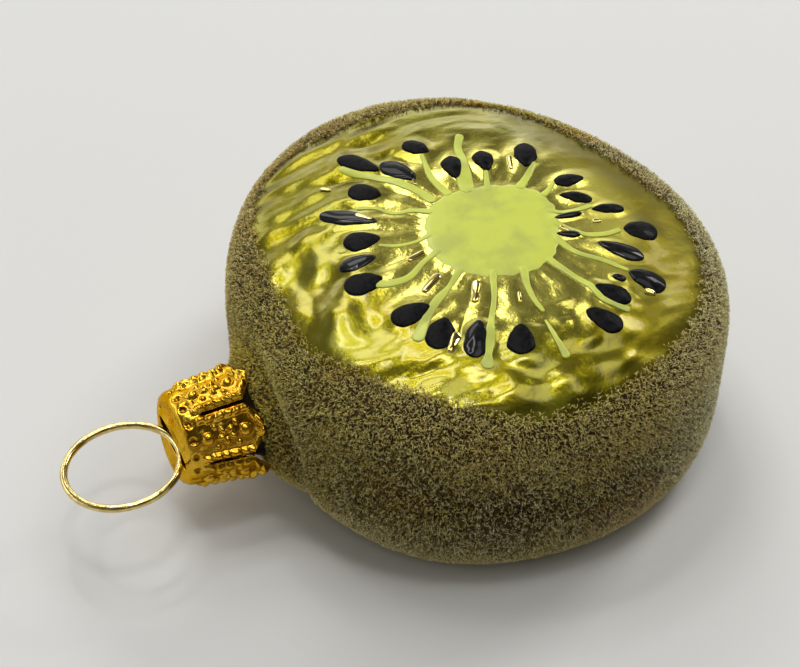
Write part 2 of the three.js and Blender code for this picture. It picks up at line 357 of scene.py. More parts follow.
def pips_and_ribs(across, along):
    """Heights of the raised seeds and of their ribs at places measured from the core: an oval bell
    for each seed, and a ridge that widens on its way out to it and fades beyond it."""
    ribs, pips = np.zeros_like(across), np.zeros_like(across)
    for bearing, distance, length, width, lean, _ in SEEDS:
        heading, axis = np.radians([bearing, bearing + 180 + lean])
        forward = across * np.cos(heading) + along * np.sin(heading)
        aside = along * np.cos(heading) - across * np.sin(heading)
        rise = smooth(forward, CORE_RADIUS - 0.8, CORE_RADIUS + 4.0)
        rise = rise * (1 - smooth(forward, distance, distance + 4))
        spread = RIB_SPREAD * np.maximum(forward, 4)
        ribs = np.maximum(ribs, RIB_LIFT * rise * bump(aside, 0, spread))
        from_x, from_y = across - distance * np.cos(heading), along - distance * np.sin(heading)
        lengthwise = (from_x * np.cos(axis) + from_y * np.sin(axis)) / (PIP_LENGTH * length)
        sideways = (from_y * np.cos(axis) - from_x * np.sin(axis)) / (PIP_WIDTH * width)
        pips = np.maximum(pips, SEED_LIFT * np.exp(-((lengthwise**2 + sideways**2) ** PIP_POWER)))
    return pips, ribs


def relief(x, y):
    """Moulded relief of the cut face: a raised core, pips and ribs, fine pleats beside the core,
    then pillows with creases between them and dimples on them, shallow at first. A trough runs
    round inside the edge. It and the pillows are deepest towards the neck."""
    across, along = x - CORE[0], y - CORE[1]
    out, turn = np.hypot(across, along), np.arctan2(along, across)
    height = CORE_LIFT * (1 - smooth(out - core_outline(turn), -0.6, 1.2))
    pips, ribs = pips_and_ribs(across, along)
    pleats = np.sin(PLEAT_COUNT * turn + 3 * np.sin(5 * turn))
    pleats = pleats * smooth(out, 8.4, 9.2) * (1 - smooth(out, 9.8, 12.5))
    squeeze = 1.0 + PILLOW_SQUEEZE * smooth(np.abs(np.sin(turn)), 0.35, 0.95)
    circle = [PILLOW_CIRCLE * np.cos(turn), PILLOW_CIRCLE * np.sin(turn)]
    spots = np.stack([*circle, squeeze * out], -1)
    creases = np.sqrt(wave_noise(spots, 1.5 * PILLOW_LENGTH, 41, 40) ** 2 + 0.3)
    waves = wave_noise(spots, PILLOW_LENGTH, 42, 40) + 0.4 * creases
    waves = waves + DIMPLE_SHARE * wave_noise(spots, 0.55 * PILLOW_LENGTH, 43, 40)
    share = rim_share(x, y)
    lively = CALM_SHARE + (1 - CALM_SHARE) * smooth(np.cos(turn - LIVELY_TURN), -0.85, 0.3)
    trough = bump(share - TROUGH_SHARE, 0.02 * creases, TROUGH_SPREAD) * lively
    outer = smooth(out, 11, 18) * (1 - smooth(share, 0.86, 0.97)) * lively
    inner = INNER_SHARE * smooth(out, 8.5, 12.5) * (1 - outer)
    dents = PILLOW_DEPTH * waves * (outer + inner) * (1 - 0.85 * pips / SEED_LIFT)
    return height + ribs + pips + PLEAT_DEPTH * pleats + dents - TROUGH_DEPTH * trough


def face_height(x, y):
    """Height of the cut face: a dome that falls steeply at its shoulder, plus the relief."""
    share = np.minimum(rim_share(x, y), 1.0)
    return WIDEST_HEIGHT + DOME_RISE * (1 - share**DOME_POWER) ** SHOULDER_POWER + relief(x, y)


def wall_profile():
    """Rows from the middle of the foot out, up the flank, over the shoulder and in to the middle of
    the face, as shares of the radius and heights, spaced by arc length and finer on the face."""
    rise = np.linspace(0, np.pi / 2, 400)
    flank_share = FOOT_SHARE + (1 - FOOT_SHARE) * np.sin(rise)
    flank_height = FOOT_HEIGHT + (WIDEST_HEIGHT - FOOT_HEIGHT) * (1 - np.cos(rise) ** FLANK_POWER)
    climb = np.linspace(0, 1, 2400)
    crest = -200  # from here on the dome is level enough to go by its radius
    dome_share = (1 - climb ** (1 / SHOULDER_POWER)) ** (1 / DOME_POWER)
    dome_height = WIDEST_HEIGHT + DOME_RISE * climb
    inwards = np.linspace(dome_share[crest], 0, 600)[1:]
    top_height = WIDEST_HEIGHT + DOME_RISE * (1 - inwards**DOME_POWER) ** SHOULDER_POWER
    share = np.r_[0.02, flank_share, dome_share[1:crest], inwards]
    height = np.r_[FOOT_HEIGHT, flank_height, dome_height[1:crest], top_height]
    fineness = np.where((share < 0.93) & (height > 15), FACE_FINENESS, 1.0)
    fineness[0] = 0.35
    step = np.hypot(np.diff(share) * SLICE_RADIUS, np.diff(height)) * fineness[:-1]
    length = np.r_[0, np.cumsum(step)]
    rows = np.linspace(0, length[-1], WALL_ROWS)
    return np.interp(rows, length, share), np.interp(rows, length, height)


def to_cap(points):
    """Points as (depth along the cap's axis, distance along +Y, distance up) from its end plate."""
    from_end = points - CAP_END
    return np.stack([from_end @ INWARD, from_end[..., 1], from_end @ UPWARD], -1)


def draw_neck(points):
    """Pulls the side facing -X out along the cap's axis into a flared tube: near the axis a point
    takes the tube's depth, which grows with the root of its distance beyond the tube's radius. A
    collar stands out round its foot and a crease runs round the collar."""
    depth, aside, up = np.moveaxis(to_cap(points), -1, 0)
    distance = np.hypot(aside, up)
    way = np.sqrt(np.clip((distance - TUBE_RADIUS) / (FLARE_RADIUS - TUBE_RADIUS), 0, None))
    flare = FLARE_TOP_DEPTH + (FLARE_FOOT_DEPTH - FLARE_TOP_DEPTH) * way
    rim = smooth(distance, TUBE_RADIUS - 0.8, TUBE_RADIUS)
    tube = TUBE_END_DEPTH + (FLARE_TOP_DEPTH - TUBE_END_DEPTH) * rim
    target = np.where(distance < TUBE_RADIUS, tube, flare)
    blend = 0.5 * (np.sqrt((depth - target) ** 2 + 1.2) - np.abs(depth - target))
    new_depth = np.minimum(depth, target) - blend * (distance > TUBE_RADIUS)
    below = 0.35 + 0.65 * smooth(-aside / (distance + 0.1), -0.3, 0.5)
    collar = COLLAR_PULL * (1 - smooth(distance, 6.5, 9.8))
    crease = CREASE_PUSH * below * bump(distance, CREASE_DISTANCE, CREASE_SPREAD)
    facing = (points[..., 0] < -15) & (distance < 14)
    pull = (new_depth - depth) * (1 - smooth(distance, 9, 14))
    pull = np.where(distance > TUBE_RADIUS, np.minimum(pull, -collar) + crease, pull)
    shift = np.where(facing, pull, 0)
    return points + shift[..., None] * INWARD


def outward(points, faces):
    """The faces, turned round if the closed shell they make is inside out."""
    a, b, c = (points[faces[:, i]] for i in range(3))
    volume = np.einsum("ij,ij->i", a, np.cross(b, c)).sum()
    return faces if volume > 0 else faces[:, ::-1]


def closed_shell(grid, poles):
    """Points and triangles of a closed skin: a grid whose columns close on themselves, with a pole
    before its first row and another after its last."""
    rows, columns = grid.shape[:2]
    here = 1 + np.arange((rows - 1) * columns)
    across = here - (here - 1) % columns + here % columns
    body = np.stack([here, across, across + columns, here, across + columns, here + columns], -1)
    column = np.arange(columns)
    after = (column + 1) % columns
    last = 1 + (rows - 1) * columns
    foot = np.stack([np.zeros(columns, int), 1 + after, 1 + column], -1)
    top = np.stack([last + column, last + after, np.full(columns, last + columns)], -1)
    faces = np.concatenate([foot, body.reshape(-1, 3), top])
    points = np.concatenate([poles[:1], grid.reshape(-1, 3), poles[1:]])
    return points, outward(points, faces)


def make_piece(name, points, faces, material, body="ornament"):
    """A smooth mesh object from points in millimetres and triangles, riding on a body."""
    mesh = bpy.data.meshes.new(name)
    mesh.vertices.add(len(points))
    mesh.vertices.foreach_set("co", (points * MM).astype(np.float32).ravel())
    mesh.loops.add(faces.size)
    mesh.loops.foreach_set("vertex_index", faces.astype(np.int32).ravel())
    mesh.polygons.add(len(faces))
    mesh.polygons.foreach_set("loop_start", np.arange(0, faces.size, 3, dtype=np.int32))
    mesh.update(calc_edges=True)
    mesh.shade_smooth()
    mesh.materials.append(material)
    piece = new_object(name, mesh)
    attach(piece, body)
    return piece


def add_mask(piece, name, values):
    """A number for each vertex, which the piece's material reads by its name."""
    layer = piece.data.attributes.new(name, "FLOAT", "POINT")
    layer.data.foreach_set("value", values.astype(np.float32))


def read_mask(tree, name):
    """The number that the piece's mesh holds for each vertex under a name."""
    return add_node(tree, "Attribute", {}, attribute_name=name).outputs["Fac"]


wall_share, wall_height = wall_profile()
wall_turn = np.linspace(0, 2 * np.pi, WALL_COLUMNS, endpoint=False)
row_height = wall_height[1:-1, None]
radius = wall_share[1:-1, None] * outline(wall_turn)
from_tuck = np.angle(np.exp(1j * (wall_turn - TUCK_TURN)))
radius *= 1 - TUCK_SHARE * bump(from_tuck, 0, TUCK_SPREAD) * (1 - smooth(row_height, 2.0, 10.0))
wall = [radius * np.cos(wall_turn), radius * np.sin(wall_turn), row_height + 0 * radius]
wall = np.stack(wall, -1)
on_top = wall[..., 2] > WIDEST_HEIGHT
wall[..., 2] += np.where(on_top, relief(wall[..., 0], wall[..., 1]), 0)
wall = draw_neck(wall)
middle_height = float(face_height(np.zeros(1), np.zeros(1))[0])
glass_points, glass_faces = closed_shell(wall, [[0, 0, FOOT_HEIGHT], [0, 0, middle_height]])

# The lacquer's gold turns darker towards +X: painted shade that dims the face's reflections on that
# side.
FRESH_GOLD = (0.225, 0.192, 0.003), (0.215, 0.197, 0.009)
PAINTED_SHADE_GOLD = (0.165, 0.135, 0.010), (0.185, 0.160, 0.018)
INNER_GOLD = (0.74, 0.67, 0.12)
lacquer, tree, shader = new_material("lacquered_glass")
where = tree.nodes.new("ShaderNodeTexCoord").outputs["Object"]
fresh, painted_shade_gold = (
    mottle(tree, 150.0, *tones, detail=2.0, between=(0.38, 0.62))["Colour"]
    for tones in (FRESH_GOLD, PAINTED_SHADE_GOLD)
)
rightward = to_range(along_way(where, (0.966, -0.26, 0)), 0.006, 0.022)
far_side = along_way(where, (-0.3, 0.95, 0))
gloss = read_mask(tree, "gloss")
# painted shade: the gold blends to the darker one towards +X
gold = blend_colours(rightward, fresh, painted_shade_gold)
satin = to_range(gloss, 0.0, 1.0, 0.26, 0.18)
dulled = to_range(rightward, 0.0, 1.0, 0.0, 0.17)
varnish = to_range(rightward, 0.0, 1.0, 1.0, 0.15)
varnish = combine("MULTIPLY", varnish, to_range(gloss, 0.0, 1.0, 0.60, 0.50))
varnish = combine("MULTIPLY", varnish, to_range(far_side, 0.008, 0.020, 1.0, 0.35))
orange_peel = mottle(tree, 700.0, (0, 0, 0), (1, 1, 1), strength=0.2, depth=0.0004)
fill(shader, {
    "Base Color": blend_colours(gloss, gold, INNER_GOLD),
    "Metallic": 1.0,
    "Roughness": combine("ADD", satin, dulled),
    "Normal": orange_peel["Normal"],
    "Coat Weight": varnish, "Coat Roughness": 0.12, "Coat IOR": 1.55,
})

# The glue under the flock is a near-black brown: painted shade for the fibres' roots and the gaps
# between them.
glue, tree, shader = new_material("flock_glue_and_root_shade")
grains_and_root_shade = mottle(tree, 900.0, (0.020, 0.012, 0.002), (0.10, 0.068, 0.014), detail=4.0, strength=0.8,
                depth=0.0004)
fill(shader, {"Base Color": grains_and_root_shade["Colour"], "Normal": grains_and_root_shade["Normal"], "Roughness": 0.9})

GLUE_SETBACK, SHOULDER_LEVEL = 0.010, WIDEST_HEIGHT + 4
glass = make_piece("glass", glass_points, glass_faces, lacquer)
glass.data.materials.append(glue)
x, y, z = glass_points.T
flocked = rim_share(x, y) > edge_share(np.arctan2(y, x)) + GLUE_SETBACK
flocked |= z < SHOULDER_LEVEL
corner = np.empty(len(glass.data.loops), np.int32)
glass.data.loops.foreach_get("vertex_index", corner)
under_flock = flocked[corner].reshape(-1, 3).all(1)
glass.data.polygons.foreach_set("material_index", under_flock.astype(np.int32))
add_mask(glass, "gloss", 1 - smooth(np.hypot(x - CORE[0], y - CORE[1]), 12.0, 19.0))
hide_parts("glass_body")

# ---------------------------------------------------------------------------------------------
# The lime enamel: an opaque core and the drawn-out rays between the seeds, trailed on by hand in
# thick paint that rounds up at its edges and gathers into drops where a ray stops.

ENAMEL_DEPTH, RAY_DEPTH, RAY_ROUNDNESS = 0.12, 0.15, 0.35
SUNK = 0.06  # how far the underside of any paint lies below the glass
POOL_COLUMNS, POOL_ROWS, POOL_UNDER_ROWS = 200, 44, 12
STROKE_SIDES = 20
FULL_HALF = 0.35  # a line of paint with a smaller half-width than this is thinner too


def painted_core():
    """A closed pool: bearings against a share of the outline, the top level and rounded off by the
    eighth power of the share, and the underside sunk just below the glass."""
    turn = np.linspace(0, 2 * np.pi, POOL_COLUMNS, endpoint=False)
    above = np.sin(np.linspace(0.02, np.pi / 2, POOL_ROWS))
    share = np.r_[above, np.linspace(1, 0.02, POOL_UNDER_ROWS)[1:]]
    top = np.arange(len(share)) < POOL_ROWS
    edge = core_outline(turn) + 0.10 * np.sin(17 * turn + 1) + 0.07 * np.sin(31 * turn)
    x = CORE[0] + share[:, None] * edge * np.cos(turn)
    y = CORE[1] + share[:, None] * edge * np.sin(turn)
    thick = ENAMEL_DEPTH * np.sqrt(np.clip(1 - share**8, 0, 1))
    rise = np.where(top, thick, -SUNK)[:, None]
    rows = np.stack([x, y, face_height(x, y) + rise], -1)
    return closed_shell(rows, rows[[0, -1]].mean(1))


def bead(spot, half, depth, roundness):
    """A closed bead of paint on the face from points along its middle, the first and last being its
    ends, and its half-widths there: a half-round profile, its height raised to the power of the
    roundness, is carried along the line."""
    heading = np.gradient(spot, axis=0)[1:-1]
    heading /= np.hypot(*heading.T)[:, None]
    left = np.stack([-heading[:, 1], heading[:, 0]], -1)
    around = np.linspace(0, 2 * np.pi, STROKE_SIDES, endpoint=False)
    half = half[1:-1, None]
    flat = spot[1:-1, None] + (half * np.cos(around))[..., None] * left[:, None]
    swell = np.sign(np.sin(around)) * np.abs(np.sin(around)) ** roundness
    thin = np.minimum(1, half / FULL_HALF)
    rise = np.where(swell > 0, depth * swell * thin, SUNK * swell)
    x, y = flat[..., 0], flat[..., 1]
    rows = np.stack([x, y, face_height(x, y) + rise], -1)
    return closed_shell(rows, np.c_[spot[[0, -1]], face_height(*spot[[0, -1]].T)])


def trailed_line(path, widths, stations=64):
    """The middle line and half-widths of a trailed stroke: a smooth curve through a path's points,
    eased from width to width and closed in a half circle at each end."""
    path, widths = np.asarray(path, float), np.asarray(widths, float)
    reach = np.r_[0, np.cumsum(np.hypot(*np.diff(path, axis=0).T))]
    slope = np.gradient(path, reach, axis=0, edge_order=1)
    run = reach[-1] * (1 - np.cos(np.linspace(0, np.pi, stations))) / 2
    piece = np.clip(np.searchsorted(reach, run, "right") - 1, 0, len(reach) - 2)
    span = (reach[piece + 1] - reach[piece])[:, None]
    s = (run - reach[piece])[:, None] / span
    spot = ((2 * s**3 - 3 * s**2 + 1) * path[piece] + (s**3 - 2 * s**2 + s) * span * slope[piece]
            + (3 * s**2 - 2 * s**3) * path[piece + 1] + (s**3 - s**2) * span * slope[piece + 1])
    ease = smooth(s[:, 0], 0, 1)
    half = (widths[piece] * (1 - ease) + widths[piece + 1] * ease) / 2
    close = np.clip(np.minimum(run, reach[-1] - run) / half, 0, 1)
    return spot, half * np.sqrt(1 - (1 - close) ** 2)


def join(shells):
    """Several closed shells as the points and triangles of one piece."""
    starts = np.r_[0, np.cumsum([len(points) for points, _ in shells])[:-1]]
    faces = np.concatenate([faces + start for (_, faces), start in zip(shells, starts)])
    return np.concatenate([points for points, _ in shells]), faces


# Rays: points from the core outwards, and the width at each.
RAYS = [
    ([(2.7, 6.0), (3.6, 8.7), (4.9, 11.7), (5.5, 14.1), (7.1, 16.7)], [1.9, 2.0, 1.2, 1.0, 1.1]),
    ([(5.0, 5.2), (6.6, 8.7)], [0.9, 0.5]),
    ([(8.6, 4.0), (10.6, 5.6), (12.9, 7.6)], [1.3, 0.9, 0.6]),
    ([(10.6, 1.6), (12.2, 2.6), (13.4, 3.5)], [0.9, 0.6, 0.6]),
    ([(9.8, -0.8), (11.1, -1.8), (12.8, -2.3), (15.3, -2.4)], [0.9, 0.6, 0.7, 0.8]),
    ([(9.6, -3.0), (10.8, -5.0), (11.8, -6.4), (13.8, -7.3), (16.3, -7.5)],
     [0.9, 0.7, 0.7, 0.8, 0.7]),
    ([(8.4, -5.4), (9.6, -9.0), (11.8, -11.2), (13.7, -13.8)], [1.0, 0.7, 0.7, 0.6]),
    ([(5.9, -8.2), (7.2, -12.0), (8.2, -14.3), (8.6, -16.6), (9.6, -17.9), (10.8, -19.2)],
     [1.0, 0.7, 0.8, 0.7, 0.6, 0.9]),
    ([(2.6, -8.2), (1.5, -11.8), (1.3, -13.9), (1.4, -15.5)], [1.1, 0.7, 0.6, 0.5]),
    ([(1.0, -16.6), (0.8, -19.2), (0.8, -20.9), (0.8, -22.3)], [0.3, 0.6, 0.8, 1.1]),
    ([(-0.9, -7.2), (-2.9, -11.4), (-4.6, -14.0), (-6.3, -16.8), (-7.2, -18.3), (-8.3, -20.0)],
     [0.9, 0.6, 0.7, 1.3, 0.8, 1.9]),
    ([(-4.0, -5.2), (-6.7, -7.4), (-8.9, -8.8), (-11.1, -10.6), (-13.8, -13.2)],
     [1.0, 0.6, 1.1, 1.0, 1.7]),
    ([(-4.9, -1.4), (-7.4, -2.4), (-10.6, -4.1), (-12.7, -4.0), (-14.4, -3.1)],
     [0.9, 0.7, 0.9, 0.9, 1.2]),
    ([(-4.6, 1.4), (-6.9, 1.1), (-8.8, 1.3), (-11.1, 2.4)], [0.7, 0.4, 0.5, 0.4]),
    ([(-2.6, 4.8), (-4.9, 6.2), (-7.0, 6.7), (-8.5, 8.4), (-10.6, 9.6)], [0.9, 0.6, 0.5, 0.5, 0.7]),
    ([(-1.6, 6.4), (-3.0, 9.6), (-4.8, 12.1), (-7.4, 14.8), (-9.3, 17.5)],
     [1.3, 1.1, 1.1, 0.9, 0.9]),
    ([(0.5, 6.6), (0.0, 10.8), (0.5, 13.4), (0.7, 14.9)], [1.1, 0.8, 0.6, 0.5]),
    ([(-15.7, 3.9), (-14.8, 3.5)], [0.6, 0.5]),
]
THICK_LIME, THIN_LIME = (0.655, 0.725, 0.105), (0.53, 0.585, 0.11)

enamel, tree, shader = new_material("lime_enamel")
pooled = mottle(tree, 260.0, THICK_LIME, THIN_LIME, between=(0.40, 0.68), strength=0.3,
                depth=0.0003)
fill(shader, {
    "Base Color": pooled["Colour"], "Normal": pooled["Normal"], "Roughness": 0.32,
    "Specular IOR Level": 0.3, "Coat Weight": 0.15, "Coat Roughness": 0.06,
})
rays = [bead(*trailed_line(path, widths), RAY_DEPTH, RAY_ROUNDNESS) for path, widths in RAYS]
lime = make_piece("lime_enamel", *join([painted_core()] + rays), enamel)

# ---------------------------------------------------------------------------------------------
# The seeds: black enamel dabbed over the raised pips, each a blunt drop that points to the core.
# Most have dried matte, and a few were left thick and glossy.

SEED_DEPTH, SEED_ROUNDNESS = 0.20, 0.8
BLUNT_POWER, POINT_POWER = 0.46, 0.72
SEED_OVERLAP = 1.04  # the paint's length as a share of the pip's


def seed_line(bearing, distance, length, width, lean, stations=44):
    """The middle line and half-widths of a dabbed seed: an egg, whose width is the share of its
    length from the blunt end to one power times the share from the point to another, made lumpy."""
    heading, axis = np.radians([bearing, bearing + 180 + lean])
    middle = CORE + distance * np.array([np.cos(heading), np.sin(heading)])
    way = (1 - np.cos(np.linspace(0, np.pi, stations))) / 2
    along = np.array([np.cos(axis), np.sin(axis)])
    spot = middle + (way[:, None] - 0.5) * length * SEED_OVERLAP * along
    egg = way**BLUNT_POWER * (1 - way) ** POINT_POWER
    lumps = 1 + 0.045 * np.sin(9 * way + bearing) + 0.03 * np.sin(17 * way + 2 * bearing)
    return spot, 0.5 * width * lumps * egg / egg.max()


black, tree, shader = new_material("black_enamel")
dry = mottle(tree, 1600.0, (0.002, 0.002, 0.0025), (0.008, 0.008, 0.009), strength=0.4)
fill(shader, {
    "Base Color": dry["Colour"], "Normal": dry["Normal"],
    "Roughness": to_range(dry["Mask"], 0.0, 1.0, 0.32, 0.42),
    "Specular IOR Level": 0.055,
    "Coat Weight": to_range(read_mask(tree, "gloss"), 0.15, 1.0, 0.0, 0.45),
    "Coat Roughness": 0.05,
})
shells = [bead(*seed_line(*seed[:5]), SEED_DEPTH, SEED_ROUNDNESS) for seed in SEEDS]
seeds = make_piece("seeds", *join(shells), black)
seed_gloss = np.repeat([seed[5] for seed in SEEDS], [len(points) for points, _ in shells])
add_mask(seeds, "gloss", seed_gloss)

# ---------------------------------------------------------------------------------------------
# Runs of clear lacquer: a few drops that gathered by the core and beside seeds, and dried as high
# gloss beads that mirror the lights sharply.

RUN_DEPTH, RUN_ROUNDNESS, RUN_TAPER = 0.26, 0.6, 0.8
RUNS = [  # ends of each run, and its width at the first
    ((-3.3, -7.9), (-5.3, -11.0), 1.1), ((-6.8, -5.0), (-9.8, -6.8), 1.2),
    ((-9.0, -14.2), (-11.2, -16.4), 1.1), ((-9.2, -1.4), (-6.6, -0.9), 1.0),
    ((13.9, -17.1), (15.1, -17.9), 0.8), ((13.9, -4.7), (15.0, -5.2), 0.8),
    ((10.5, 10.1), (9.6, 7.7), 0.7), ((-11.4, 8.4), (-9.9, 6.6), 0.8),
    ((0.3, -11.6), (-0.4, -13.2), 0.5), ((-12.9, 15.4), (-11.8, 14.3), 0.8),
    ((9.9, -3.9), (10.5, -5.4), 0.7), ((-2.0, 12.2), (-2.4, 10.0), 0.5),
]
clear, tree, shader = new_material("clear_runs")
tinged = mottle(tree, 800.0, (0.60, 0.46, 0.10), (0.74, 0.66, 0.22))
fill(shader, {
    "Base Color": tinged["Colour"], "Metallic": 1.0, "Roughness": 0.07, "Coat Weight": 0.8,
})
shells = [
    bead(*trailed_line([start, end], [width, RUN_TAPER * width], 40), RUN_DEPTH, RUN_ROUNDNESS)
    for start, end, width in RUNS
]
runs = make_piece("clear_runs", *join(shells), clear)

# ---------------------------------------------------------------------------------------------
# The flock: short cut fibres shot on to wet glue all over the sides and the swelling of the neck.
# They lean every way in tangled tufts: fibres on top are coloured pale as painted light, those
# under them dark as painted shade.

# The flock's own mix of colours, split as painted light and shade: the upright fibres under the
# others get dark colours, the bent ones on top pale colours.
UPRIGHT_EACH, BENT_EACH = 33000, 23000  # fibres of each colour
UPRIGHT_FLOCKS_IN_SHADE = {  # from the greenest places to the brownest
    "flock_moss": (0.66, 0.51, 0.13),
    "flock_olive": (0.37, 0.245, 0.036),
    "flock_umber": (0.105, 0.045, 0.005),
}
BENT_FLOCKS_IN_LIGHT = {"flock_straw": (1.0, 0.80, 0.25), "flock_beige": (1.0, 0.86, 0.42)}
UPRIGHT_WIDTHS, UPRIGHT_LENGTHS, BOW_SHARES = (0.095, 0.14), (0.5, 0.78), (0.05, 0.25)
BENT_WIDTHS, BENT_RISES, BENT_REACHES = (0.08, 0.115), (0.40, 0.62), (0.26, 0.46)
LEAST_RISE = 0.3  # of an upright fibre away from the wall, as a share of its length
FRINGE = 0.014  # share of the radius over which the flock thins out at the edge of the glue
CAP_COVER = 5.6  # no flock was shot within this distance of the cap's axis
flock_rng = np.random.default_rng(97)


def unit(vectors):
    """Vectors brought to a length of 1."""
    return vectors / np.linalg.norm(vectors, axis=-1, keepdims=True)


def scatter_on_wall(count):
    """Random roots spread evenly over the flocked part of the wall, with the outward normal: a cell
    is drawn by its area and a point inside it by two random shares."""
    a, b = wall[:-1], wall[1:]
    across = np.roll(a, -1, 1) - a
    upward = b - a
    normal = np.cross(across, upward)
    area = np.linalg.norm(normal, axis=-1)
    centre = a + 0.5 * (across + upward)
    x, y, z = np.moveaxis(centre, -1, 0)
    _, aside, up = np.moveaxis(to_cap(centre), -1, 0)
    inside_cap = (np.hypot(aside, up) < CAP_COVER) & (x < 0)
    low = z < FOOT_HEIGHT + 0.02
    edge = edge_share(np.arctan2(y, x)) - FRINGE * (0.5 + 0.6 * wave_noise(centre, 1.1, 11))
    fringe = smooth(rim_share(x, y), edge - FRINGE, edge + 0.7 * FRINGE)
    cover = np.where(z > WIDEST_HEIGHT, fringe, 1)
    chance = (np.where(inside_cap | low, 0, area) * cover).ravel()
    cell = flock_rng.choice(chance.size, count, p=chance / chance.sum())
    row, column = np.divmod(cell, wall.shape[1])
    s, t = flock_rng.random((2, count, 1))
    root = a[row, column] + s * across[row, column] + t * upward[row, column]
    return root, unit(normal[row, column])


def tuft_way(root):
    """The way that the fibres of a tuft lean together, which changes smoothly over the sides."""
    return np.stack([wave_noise(root, 1.5, seed) for seed in (1, 2, 3)], -1)


def upright_lines(root, normal):
    """Root, middle and tip of short fibres that lean from the normal and bow to one side."""
    count = (len(root), 1)
    ahead = unit(normal + 0.28 * tuft_way(root) + 0.8 * flock_rng.normal(size=root.shape))
    rise = (ahead * normal).sum(1)[:, None]
    ahead = unit(np.where(rise < LEAST_RISE, ahead + (LEAST_RISE + 0.05 - rise) * normal, ahead))
    length = flock_rng.uniform(*UPRIGHT_LENGTHS, count)
    aside = unit(np.cross(ahead, flock_rng.normal(size=root.shape)))
    bow = flock_rng.uniform(*BOW_SHARES, count) * length
    return np.stack([root, root + 0.55 * length * ahead + bow * aside, root + length * ahead], 1)


def bent_lines(root, normal):
    """Root, bend and tip of fibres that rise and then lie over the others: the root is drawn aside,
    square to the way that the tip goes, so that the fibre curls as it turns over."""
    count = (len(root), 1)
    way = 0.2 * tuft_way(root) + flock_rng.normal(size=root.shape)
    over = unit(way - (way * normal).sum(1)[:, None] * normal)
    bend = root + flock_rng.uniform(*BENT_RISES, count) * normal
    tip = bend + flock_rng.uniform(*BENT_REACHES, count) * over
    tip = tip + flock_rng.uniform(-0.06, 0.16, count) * normal
    aside = flock_rng.uniform(-0.3, 0.3, count) * np.cross(normal, over) - 0.08 * over
    return np.stack([root + aside, bend, tip], 1)


def spindles(lines, width):
    """Closed fibres from their roots, middles and tips: a point at each end and a small triangle
    between, square to the fibre."""
    lines[..., 2] = np.maximum(lines[..., 2], 0.05)
    ahead = unit(lines[:, 2:] - lines[:, :-2])
    aside = unit(np.cross(ahead, flock_rng.normal(size=(len(lines), 1, 3))))
    other = np.cross(ahead, aside)
    spin = np.radians([90, 210, 330])[:, None]
    ring = np.cos(spin) * aside[:, :, None] + np.sin(spin) * other[:, :, None]
    ring = lines[:, 1:-1, None] + 0.5 * width[:, None, None] * ring
    points = np.concatenate([lines[:, :1], ring.reshape(len(lines), -1, 3), lines[:, -1:]], 1)
    faces = [(0, 1 + (corner + 1) % 3, 1 + corner) for corner in range(3)]
    faces += [(4, 1 + corner, 1 + (corner + 1) % 3) for corner in range(3)]
    faces = (np.array(faces) + 5 * np.arange(len(lines))[:, None, None]).reshape(-1, 3)
    points = points.reshape(-1, 3)
    points[:, 2] = np.maximum(points[:, 2], 0.02)
    return points, outward(points, faces)


# Tints laid over the flock's colour, some of them painted light: the way each runs, how far along
# it in millimetres it starts and ends, the share of the tint there, and the tint.
TINTS_AND_PAINTED_LIGHT = [
    # partly painted light: the grey-green is the flock's own, the paling to the right stands for
    # light from behind
    ((1.0, -0.3, -0.1), 8.0, 32.0, 0.48, (0.95, 0.93, 0.67)),  # pale and grey-green to the right
    ((-1.0, 0, 0), 8.0, 30.0, 0.34, (0.72, 0.63, 0.22)),  # straw towards the neck
    # painted light: paler near the foot, where the flank leans under and gets little light
    ((0, 0, -1.0), -12.5, -4.0, 0.42, (1.0, 0.88, 0.52)),  # paler near the foot
    ((-0.45, 0.9, 0), 12.0, 28.0, 0.40, (0.74, 0.60, 0.31)),  # browner on the far side
    # painted light: lighter along the near top edge, which faces up to the lights
    ((0, -0.6, 0.8), 27.5, 33.5, 0.40, (1.0, 0.86, 0.36)),  # lighter along the near top edge
]
BROWN_PATCH, NECK_YELLOW = (0.97, 0.84, 0.65), (1.10, 1.04, 0.62)


def make_flock_tones():
    """The group that every fibre uses: its colour dyed browner in broad patches, then given one
    tint after another, some of them painted light, and yellowed round the neck."""
    group = bpy.data.node_groups.new("flock_tones", "ShaderNodeTree")
    add_socket(group, "INPUT", "Fibre", "Color")
    add_socket(group, "OUTPUT", "Colour", "Color")
    colour = group.nodes.new("NodeGroupInput").outputs["Fibre"]
    where = group.nodes.new("ShaderNodeTexCoord").outputs["Object"]
    noise = add_node(group, "TexNoise", {"Vector": where, "Scale": 95.0, "Detail": 2.0})
    patch = to_range(noise.outputs["Fac"], 0.52, 0.64)
    colour = blend_colours(patch, colour, BROWN_PATCH, "MULTIPLY")
    for way, start, end, share, tint in TINTS_AND_PAINTED_LIGHT:
        tint_share = to_range(along_way(where, way), start * MM, end * MM, 0.0, share)
        colour = blend_colours(tint_share, colour, tint)
    neck = tuple((CAP_END + 8.0 * INWARD) * MM)
    away = add_node(group, "VectorMath", {0: where, 1: neck}, operation="DISTANCE").outputs["Value"]
    near_neck = to_range(away, 0.008, 0.013, 1.0, 0.0)
    colour = blend_colours(near_neck, colour, NECK_YELLOW, "MULTIPLY")
    fill(group.nodes.new("NodeGroupOutput"), {"Colour": colour})
    return group


flock_tones = make_flock_tones()


